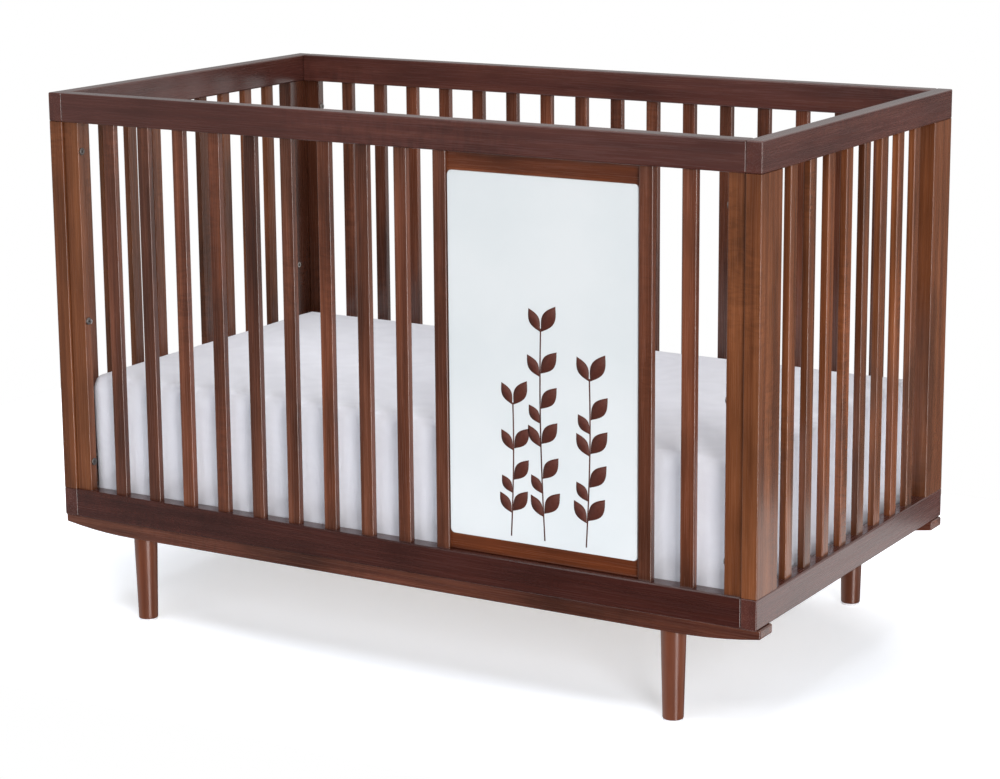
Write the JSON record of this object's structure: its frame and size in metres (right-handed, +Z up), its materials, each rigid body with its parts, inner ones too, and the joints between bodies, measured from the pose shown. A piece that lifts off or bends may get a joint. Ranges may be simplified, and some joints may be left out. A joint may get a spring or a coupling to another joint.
{
  "type": "baby crib",
  "caption": "Fixed-sided wooden baby crib with slatted sides, a white panel in the front, skid runners on round legs, and a height-adjustable mattress support with a sheeted mattress.",
  "frame": {"origin": "on the floor, midway between the ends and between the front and the back", "axes": "+X along the crib's length, to the right as seen from the front; +Y from the front to the back; +Z up. The front is the side with the white panel."},
  "size_m": [1.394, 0.771, 0.953],
  "materials": {
    "stained_wood": "satin lacquered dark red-brown stain over fine straight grain",
    "white_board": "smooth white painted fibreboard",
    "board_print": "matt dark brown printed motif",
    "support_wood": "bare planed softwood",
    "bracket_steel": "black powder-coated pressed steel",
    "steel": "zinc-plated",
    "bolt_steel": "dark bronzed furniture bolt heads",
    "glide_plastic": "white moulded plastic",
    "mattress_cover": "quilted white mattress ticking",
    "sheet_fabric": "plain white woven cotton"
  },
  "bodies": {
    "frame": {"front_bottom_rail": "stained_wood", "front_top_rail": "stained_wood", "back_bottom_rail": "stained_wood", "back_top_rail": "stained_wood", "left_bottom_rail": "stained_wood", "left_top_rail": "stained_wood", "left_slats": "stained_wood", "left_front_post": "stained_wood", "front_stile_left": "stained_wood", "leg_left_front": "stained_wood", "left_back_post": "stained_wood", "back_stile_left": "stained_wood", "leg_left_back": "stained_wood", "right_bottom_rail": "stained_wood", "right_top_rail": "stained_wood", "right_slats": "stained_wood", "right_front_post": "stained_wood", "front_stile_right": "stained_wood", "leg_right_front": "stained_wood", "right_back_post": "stained_wood", "back_stile_right": "stained_wood", "leg_right_back": "stained_wood", "front_slat_1": "stained_wood", "front_slat_2": "stained_wood", "front_slat_3": "stained_wood", "front_slat_4": "stained_wood", "front_slat_5": "stained_wood", "front_slat_6": "stained_wood", "front_slat_7": "stained_wood", "front_slat_8": "stained_wood", "front_slat_9": "stained_wood", "front_slat_10": "stained_wood", "back_slats": "stained_wood", "panel_stile_left": "stained_wood", "panel_stile_right": "stained_wood", "panel_backing": "stained_wood", "panel_board": "white_board", "skid_front": "stained_wood", "skid_back": "stained_wood", "leg_glides": "glide_plastic", "leg_bolts": "steel", "skid_screws": "steel", "frame_bolts": "bolt_steel", "bolt_inserts": "steel", "setting_inserts": "steel", "support_pins": "steel"},
    "support": {"support_rail_front": "support_wood", "support_rail_back": "support_wood", "support_rail_left": "support_wood", "support_rail_right": "support_wood", "deck_slats": "support_wood", "bracket_screws": "steel", "bracket_left_front": "bracket_steel", "bracket_left_back": "bracket_steel", "bracket_right_front": "bracket_steel", "bracket_right_back": "bracket_steel"},
    "mattress": {"mattress": "mattress_cover", "sheet": "sheet_fabric"}
  },
  "joints": [
    {"name": "support_lift", "type": "slide", "parent": "frame", "child": "support", "axis": [0, 0, 1], "range_m": [0, 0.25]},
    {"name": "mattress_lift", "type": "slide", "parent": "support", "child": "mattress", "axis": [0, 0, 1], "range_m": [0, 0.75]}
  ]
}
